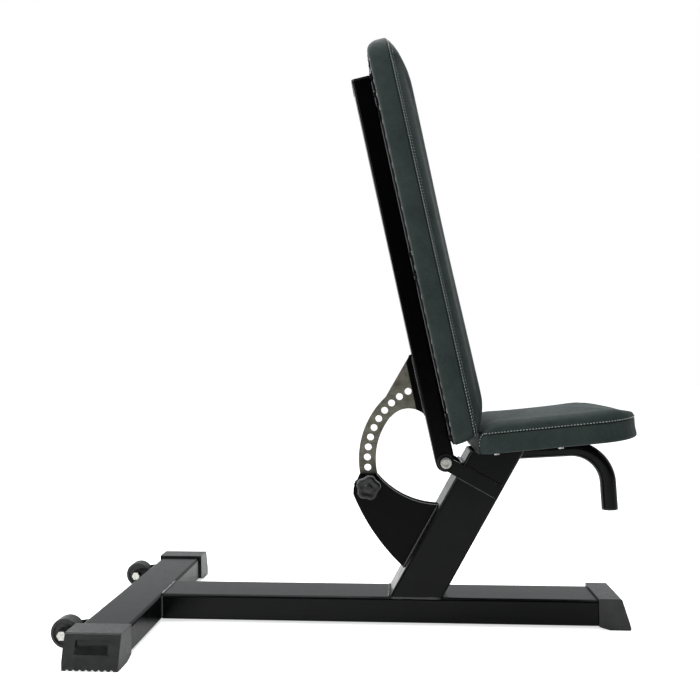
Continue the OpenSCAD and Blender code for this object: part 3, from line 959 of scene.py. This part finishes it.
    def stitch(self) -> None:
        """Lay the topstitching beside the seam."""
        offsets = (2.6, 8.5) if self.second_row else (2.6,)
        for number, off in enumerate(offsets):
            run, height = self.seam_path(off, VINYL.stitch_pitch_mm)
            here = self.sample(run, height)
            ahead = self.sample(np.roll(run, -1), np.roll(height, -1)) - here
            jump = np.linalg.norm(ahead, axis=1, keepdims=True) > 0.02
            along = unit(np.where(jump, -np.roll(ahead, 1, 0), ahead))
            over = unit(self.sample(run, height + 1.5) - self.sample(run, height - 1.5))
            out = unit(np.cross(along, over))
            middle = self.surface[self.seam_row].mean(0)
            out *= np.sign(np.sum(out * (here - middle), -1, keepdims=True))
            thread = Scatter(3.1, 0.72) if number == 0 else Scatter(2.0, 0.40)
            points, faces = thread.spread(here + out * 0.35 * MM, along, out)
            make_piece(f"{self.name}_stitches_{number + 1}", points, faces, THREAD, self.body)

    def staple(self) -> None:
        """Drive staples through the flap that is folded round the board's back edge."""
        columns = np.arange(4, len(self.run) - 4, max(1, round(28.0 / self.spacing)))
        row = 4
        here = self.surface[row, columns] * 0.35 + self.surface[row - 1, columns] * 0.65
        along = unit(self.surface[row, (columns + 1)] - self.surface[row, columns - 1])
        inner = unit(self.surface[row - 1, columns] - self.surface[row, columns])
        out = unit(np.cross(along, inner))
        board = self.to_row(np.array([[0.0, 0.0, -1.0], [0.0, 0.0, 0.0]]))
        out *= np.sign(out @ (board[0] - board[1]))[:, None]
        points, faces = Scatter(10.0, 0.45).spread(here + out * 0.2 * MM, along, out)
        make_piece(f"{self.name}_staples", points, faces, ZINC, self.body)


@dataclass(frozen=True)
class Scatter:
    """A small rounded rod laid many times on a surface, such as a stitch or a staple's crown.

    length and radius in mm; a point is x = L/2 sin a, r = R (1 - |2x/L|^4)^(1/2), round sides angles b.
    """

    length: float
    radius: float
    rings: int = 7
    sides: int = 6

    def spread(
        self, centres: np.ndarray, along: np.ndarray, out: np.ndarray
    ) -> tuple[np.ndarray, np.ndarray]:
        """Copy the rod to every centre, with its length along and its back outwards.

        Args:
            centres: middles, in metres.
            along: unit vectors of the rods.
            out: unit vectors off the surface.

        Returns:
            All vertices and all quads.
        """
        a = np.linspace(-math.pi / 2, math.pi / 2, self.rings)
        x = self.length / 2 * np.sin(a) * MM
        r = self.radius * np.sqrt(np.maximum(1 - np.sin(a) ** 4, 0)) * MM
        b = np.arange(self.sides) / self.sides * 2 * math.pi
        side = np.cross(out, along)
        cosine, sine = np.cos(b)[:, None], np.sin(b)[:, None]
        ring = cosine * side[:, None, None] + sine * out[:, None, None]
        points = centres[:, None, None] + x[None, :, None, None] * along[:, None, None]
        points = points + r[None, :, None, None] * ring
        one = grid_faces(self.rings, self.sides, True)
        step = np.arange(len(centres))[:, None, None] * (self.rings * self.sides)
        return points.reshape(-1, 3), (one[None] + step).reshape(-1, 4)


# ---------------------------------------------------------------- welds


@dataclass(frozen=True)
class Bead:
    """A weld bead: a rod along a path whose radius ripples once per laid drop.

    r(t) = R (1 + depth |sin(pi l / pitch)|) (1 - |2t - 1|^14)^(1/2), with l the length run.
    """

    radius: float = 2.2
    pitch: float = 3.4
    depth: float = 0.28
    sides: int = 10
    step: float = 0.55

    def surface(self, path: np.ndarray, closed: bool = False) -> tuple[np.ndarray, np.ndarray]:
        """Sweep the bead along a polyline.

        Args:
            path: corners in metres.
            closed: whether the path is a loop.

        Returns:
            Vertices and quads.
        """
        corners = np.vstack([path, path[:1]]) if closed else path
        lengths = np.concatenate([[0], np.cumsum(np.linalg.norm(np.diff(corners, axis=0), axis=1))])
        count = max(12, round(lengths[-1] / (self.step * MM)))
        l = np.linspace(0, lengths[-1], count, endpoint=not closed)
        line = np.stack([np.interp(l, lengths, corners[:, k]) for k in range(3)], -1)
        ends = np.gradient(line, axis=0)
        if closed:
            ends = np.roll(line, -1, 0) - np.roll(line, 1, 0)
        tangent = unit(ends)
        hint = np.array([0.31, 0.77, 0.55])
        first = unit(np.cross(tangent, hint))
        second = np.cross(tangent, first)
        swell = 1 + self.depth * np.abs(np.sin(np.pi * l / (self.pitch * MM)))
        rounded = np.sqrt(np.maximum(1 - np.abs(2 * l / lengths[-1] - 1) ** 14, 0))
        taper = np.ones(count) if closed else rounded
        drift = 1 + 0.12 * np.sin(l / 0.017) * np.sin(l / 0.0071)
        r = (self.radius * MM * swell * taper * drift)[:, None, None]
        b = (np.arange(self.sides) / self.sides * 2 * math.pi)[None, :, None]
        ring = np.cos(b) * first[:, None] + np.sin(b) * second[:, None]
        points = line[:, None] + r * ring
        faces = grid_faces(count, self.sides, True)
        if closed:
            j = np.arange(self.sides)
            k = (j + 1) % self.sides
            last = (count - 1) * self.sides
            faces = np.vstack([faces, np.stack([last + j, last + k, k, j], -1)])
        return points.reshape(-1, 3), faces


@dataclass
class Welds:
    """The bench's weld beads, gathered into one piece per joint of the frame."""

    frames: BenchFrames
    half_beam: float = 45.0
    beam_top: float = 54.5
    post_foot: float = 75.5
    beam_start: float = -377.5
    gusset_y: float = 14.6
    gusset_span: tuple[float, float] = (104.0, 227.0)
    arm_span: tuple[float, float] = (33.0, 116.0)
    arm_edge: float = 13.4
    fork_x: float = -467.9
    wheel_y: float = 174.0
    fork_half: float = 18.6
    bracket_heights: tuple[float, ...] = (68.0, 387.0, 740.0)
    grip_z: float = 333.2
    grip_slope: float = 3.0
    grip_ring: float = 16.1
    bead: Bead = Bead()

    def lay(
        self, name: str, body: str, paths: list[np.ndarray], closed: bool = False, bead: Bead | None = None
    ) -> None:
        """Lay beads along paths as one piece.

        Args:
            name: the piece's name.
            body: the body that it rides on.
            paths: polylines in metres.
            closed: whether each path is a loop.
            bead: another bead than the usual one.
        """
        points: list[np.ndarray] = []
        faces: list[np.ndarray] = []
        count = 0
        for path in paths:
            new_points, new_faces = (bead or self.bead).surface(path, closed)
            points.append(new_points)
            faces.append(new_faces + count)
            count += len(new_points)
        make_piece(name, np.vstack(points), np.vstack(faces), WELD_COAT, body)

    def post_rear(self, z: float) -> float:
        """X of the post's rear face at height z, in mm."""
        return self.post_foot + (z - self.beam_top) * math.tan(math.radians(self.frames.post_lean))

    def build(self) -> None:
        """Lay all the beads."""
        row, arm, back, seat = self.frames.row, self.frames.arm, self.frames.back, self.frames.seat
        sides = (-1.0, 1.0)

        def line(frame: Frame2, a: tuple[float, float, float], b: tuple[float, float, float]) -> np.ndarray:
            """A straight path between two points of a frame."""
            ends = np.array([a, b])
            return frame.place(ends[:, 0], ends[:, 1], ends[:, 2])

        top, h = self.beam_top, self.half_beam
        rise = [(self.post_rear(z) - 0.4, z) for z in self.gusset_span]
        self.lay(
            "gusset_welds",
            "base",
            [
                line(row, *((x, s * self.gusset_y, z) for x, z in rise))
                for s in sides
            ],
        )
        self.lay(
            "arm_welds",
            "base",
            [
                line(arm, *((x, s * (h + 0.6), t * self.arm_edge) for x in self.arm_span))
                for s in sides
                for t in sides
            ],
            bead=Bead(1.7, 3.0),
        )
        front = self.post_foot + 2 * h / math.cos(math.radians(self.frames.post_lean))
        self.lay(
            "post_foot_welds",
            "base",
            [
                line(row, (x, -38.0, top + 0.3), (x, 38.0, top + 0.3))
                for x in (self.post_foot - 0.5, front + 0.5)
            ]
            + [
                line(
                    row,
                    (self.post_foot + 3, s * (h - 1.6), top - 0.8),
                    (front - 3, s * (h - 1.6), top - 0.8),
                )
                for s in sides
            ],
        )
        x = self.beam_start
        self.lay(
            "beam_welds",
            "base",
            [line(row, (x, s * (h + 0.4), 10.0), (x, s * (h + 0.4), 50.0)) for s in sides]
            + [line(row, (x, -40.0, top - 0.9), (x, 40.0, top - 0.9))],
            bead=Bead(2.4, 3.6),
        )
        self.lay(
            "seat_plate_welds",
            "base",
            [line(seat, (-40.0, s * (h + 0.6), -4.8), (38.0, s * (h + 0.6), -4.8)) for s in sides],
            bead=Bead(1.9, 3.2),
        )
        self.lay("handle_weld", "base", [self.handle_ring()], closed=True)
        self.lay(
            "wheel_fork_welds",
            "base",
            [
                line(row, *((self.fork_x, s * self.wheel_y + t * self.fork_half, z) for z in (14.0, 44.0)))
                for s in sides
                for t in sides
            ],
            bead=Bead(1.6, 2.8),
        )
        self.lay(
            "arc_mount_welds",
            "back",
            [line(back, (-19.3, s * 8.0, 94.0), (-19.3, s * 8.0, 217.0)) for s in sides],
            bead=Bead(1.8, 3.0),
        )
        self.lay(
            "bracket_welds",
            "back",
            [
                line(back, (19.5, s * 40.3, u - 27.0), (19.5, s * 40.3, u + 27.0))
                for u in self.bracket_heights
                for s in sides
            ],
            bead=Bead(1.9, 3.2),
        )
        self.lay(
            "pivot_sleeve_welds",
            "back",
            [self.sleeve_ring(s) for s in sides],
            closed=True,
            bead=Bead(1.1, 2.6),
        )

    def handle_ring(self) -> np.ndarray:
        """The loop where the handle tube meets the post's front face.

        A point is c + R (cos b e1 + sin b e2) + t a, with t such that it lies in the face.

        Returns:
            Points in metres.
        """
        slope, lean = math.radians(self.grip_slope), math.radians(self.frames.post_lean)
        z = self.grip_z
        centre = np.array([self.post_rear(z) + 2 * self.half_beam / math.cos(lean), 0.0, z])
        axis = np.array([math.cos(slope), 0.0, math.sin(slope)])
        up = np.array([-math.sin(slope), 0.0, math.cos(slope)])
        face = np.array([math.cos(lean), 0.0, -math.sin(lean)])
        b = np.linspace(0, 2 * math.pi, 48, endpoint=False)[:, None]
        round_tube = self.grip_ring * (np.cos(b) * np.array([0.0, 1.0, 0.0]) + np.sin(b) * up)
        t = -(round_tube @ face) / float(axis @ face)
        return (centre + round_tube + t[:, None] * axis) * MM

    def sleeve_ring(self, side: float) -> np.ndarray:
        """The loop round the pivot sleeve's end, on the back tube's side wall."""
        b = np.linspace(0, 2 * math.pi, 40, endpoint=False)
        return self.frames.back.place(13.6 * np.cos(b), b * 0 + side * 39.9, 13.6 * np.sin(b))


# ---------------------------------------------------------------- knob


@dataclass(frozen=True)
class StarKnob:
    """Five-lobed knob: outline r(b) = R - depth ((1 - cos(5 (b - b0))) / 2)^1.5, over a rounded profile."""

    outer: float = 23.6
    depth: float = 3.4
    thick: float = 16.0
    edge: float = 5.0
    dish: float = 1.2
    lobes: int = 5
    columns: int = 160

    def build(self) -> None:
        """Make the knob in the box of its node, with a rounded rim, a dished face and a hub."""
        low, high = (np.array(v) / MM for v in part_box("selector_knob"))
        centre = np.array([(low[0] + high[0]) / 2, 0.0, (low[2] + high[2]) / 2])
        pin_low, pin_high = (np.array(v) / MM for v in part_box("selector_pin"))
        centre[[0, 2]] = (pin_low[[0, 2]] + pin_high[[0, 2]]) / 2
        b = np.arange(self.columns) / self.columns * 2 * math.pi
        notch = (1 - np.cos(self.lobes * (b - math.radians(8.0)))) / 2
        outline = self.outer - self.depth * notch**1.5
        turn = np.radians(np.linspace(0, 90, 7))
        rim_in = self.edge * (1 - np.sin(turn))
        rim_up = self.edge * (1 - np.cos(turn))
        inset = [*rim_in, *rim_in[::-1]]
        depth = [*rim_up, *(self.thick - rim_up[::-1])]
        radius = [np.maximum(outline - d, 0.0) for d in inset]
        outer_face = ((0.85, 0.4), (0.7, 1.0), (0.55, self.dish))
        hub = ((0.42, self.dish), (0.4, 0.2), (0.2, 0.0), (0.0, 0.0))
        for share, sunk in outer_face + hub:
            lobed = share > 0.45
            radius.append((outline - self.edge) * share if lobed else 0 * b + self.outer * share * 0.8)
            depth.append(self.thick - sunk)
        radius.insert(0, 0 * b + 6.2)
        depth.insert(0, 0.0)
        radius.insert(0, 0 * b)
        depth.insert(0, 0.0)
        r, z = np.array(radius), np.array(depth)[:, None] + 0 * b[None]
        near = high[1]
        points = np.stack([centre[0] + r * np.cos(b), near - z, centre[2] + r * np.sin(b)], -1) * MM
        piece = make_piece(
            "star_knob", points, grid_faces(len(r), self.columns, True), NYLON, "selector"
        )
        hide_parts("selector_knob")


# ---------------------------------------------------------------- frame pieces and studio


def dress_frame(frame: dict[str, object]) -> None:
    """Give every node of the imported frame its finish.
    """
    for part in frame["record"]["subparts"]:
        node = frame["nodes"][part["node"]]
        finish = NODE_FINISH.get(part["node"], SLOT_FINISH[part["material_slot"]])
        node.data.materials.clear()
        node.data.materials.append(finish.material())
        LOG.info("%s: %s", part["node"], finish.name)


@dataclass(frozen=True)
class Softbox:
    """A studio area light, aimed at a point; sizes and places in metres."""

    name: str
    place: tuple[float, float, float]
    aim: tuple[float, float, float]
    size: tuple[float, float]
    watts: float

    def build(self) -> None:
        """Hang the light."""
        lamp = bpy.data.lights.new(self.name, "AREA")
        lamp.shape = "RECTANGLE"
        lamp.size, lamp.size_y = self.size
        lamp.energy = self.watts
        holder = bpy.data.objects.new(self.name, lamp)
        holder.location = self.place
        holder.rotation_euler = (Vector(self.aim) - Vector(self.place)).to_track_quat("-Z", "Y").to_euler()
        bpy.context.scene.collection.objects.link(holder)


@dataclass
class Studio:
    """Camera, lights, surroundings and the pale floor."""

    eye: tuple[float, float, float] = (0.1028, -1.3999, 0.5104)
    yaw: float = -0.073
    pitch: float = 0.020
    roll: float = -0.010
    lens: float = 35.487
    floor_half: float = 12.0
    lights: tuple[Softbox, ...] = (
        Softbox("overhead_softbox", (0.1, 0.5, 2.6), (0.0, 0.0, 0.3), (2.6, 1.6), 45.0),
        Softbox("front_left_softbox", (-1.9, -1.9, 1.7), (0.0, 0.0, 0.5), (1.4, 1.6), 32.0),
        Softbox("front_strip", (0.1, -0.75, 2.5), (0.0, 0.0, 0.2), (2.6, 0.35), 20.0),
        Softbox("rear_strip", (-1.8, 1.1, 1.3), (0.1, 0.0, 0.4), (0.5, 1.8), 22.0),
    )

    def build(self) -> None:
        """Set the whole studio up."""
        self.place_camera()
        self.light_surroundings()
        for light in self.lights:
            light.build()
        self.lay_floor()
        bpy.context.scene.view_settings.view_transform = "Standard"

    def place_camera(self) -> None:
        """Aim the camera by yaw, pitch and roll.

        Forward is (sin yaw cos pitch, cos yaw cos pitch, sin pitch).
        """
        data = bpy.data.cameras.new("camera")
        data.lens, data.sensor_width = self.lens, 36.0
        data.clip_start, data.clip_end = 0.05, 60.0
        camera = bpy.data.objects.new("camera", data)
        forward = Vector(
            (
                math.sin(self.yaw) * math.cos(self.pitch),
                math.cos(self.yaw) * math.cos(self.pitch),
                math.sin(self.pitch),
            )
        )
        level = forward.cross(Vector((0, 0, 1))).normalized()
        upright = level.cross(forward)
        right = math.cos(self.roll) * level + math.sin(self.roll) * upright
        up = math.cos(self.roll) * upright - math.sin(self.roll) * level
        turn = Matrix((right, up, -forward)).transposed().to_4x4()
        camera.matrix_world = Matrix.Translation(self.eye) @ turn
        bpy.context.scene.collection.objects.link(camera)
        bpy.context.scene.camera = camera

    def light_surroundings(self) -> None:
        """White to the eye; to surfaces, a pale cove behind the bench that darkens towards the front."""
        world = bpy.data.worlds.new("studio_cove")
        world.use_nodes = True
        tree = world.node_tree
        tree.nodes.clear()
        way = add_node(tree, "ShaderNodeTexCoord").outputs["Generated"]
        parts = add_node(tree, "ShaderNodeSeparateXYZ", links={"Vector": way})
        behind = add_node(
            tree,
            "ShaderNodeMapRange",
            {
                "interpolation_type": "SMOOTHSTEP",
                "From Min": -0.35,
                "From Max": 0.55,
                "To Min": 0.10,
                "To Max": 0.95,
            },
            {"Value": parts.outputs["Y"]},
        ).outputs["Result"]
        cove = add_node(tree, "ShaderNodeBackground", links={"Strength": behind})
        cove.inputs["Color"].default_value = linear("#f2f5f6")
        white = add_node(tree, "ShaderNodeBackground", {"Strength": 1.0})
        white.inputs["Color"].default_value = linear("#ffffff")
        eye = add_node(tree, "ShaderNodeLightPath").outputs["Is Camera Ray"]
        mix = add_node(tree, "ShaderNodeMixShader", links={0: eye, 1: cove.outputs[0], 2: white.outputs[0]})
        add_node(tree, "ShaderNodeOutputWorld", links={"Surface": mix.outputs[0]})
        bpy.context.scene.world = world

    def lay_floor(self) -> None:
        """Lay the pale floor under the bench."""
        half = self.floor_half
        corners = [(-half, -half, 0.0), (half, -half, 0.0), (half, half, 0.0), (-half, half, 0.0)]
        mesh = bpy.data.meshes.new("floor")
        mesh.from_pydata(corners, [], [(0, 1, 2, 3)])
        mesh.materials.append(PAPER.material())
        floor = bpy.data.objects.new("floor", mesh)
        bpy.context.scene.collection.objects.link(floor)


def main() -> None:
    """Build the looks in order."""
    logging.basicConfig(level=logging.INFO, format="%(message)s")
    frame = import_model()
    frames = BenchFrames()
    Studio().build()
    dress_frame(frame)
    Cushion(
        name="back_cushion", node="back_pad", body="back", frame=frames.back, upright=True, face=23.0,
        low=37.0, high=822.0, width=270.0, corner_low=30.0, corner_high=50.0, spacing=4.0, round_low=56.0,
        taper_high=100.0, heel_low=6.0, heel_high=28.0, second_row=True, seam_drops=False, flap_proud=2.6,
    ).build()
    Cushion(
        name="seat_cushion", node="seat_pad", body="base", frame=frames.seat, upright=False, face=0.0,
        low=-50.0, high=258.0, width=270.0, corner_low=24.0, corner_high=85.0, spacing=2.4, round_low=60.0,
        taper_high=90.0, heel_low=8.0, heel_high=8.0, second_row=False, seam_drops=True,
    ).build()
    StarKnob().build()
    Welds(frames).build()


if __name__ == "__main__":
    main()
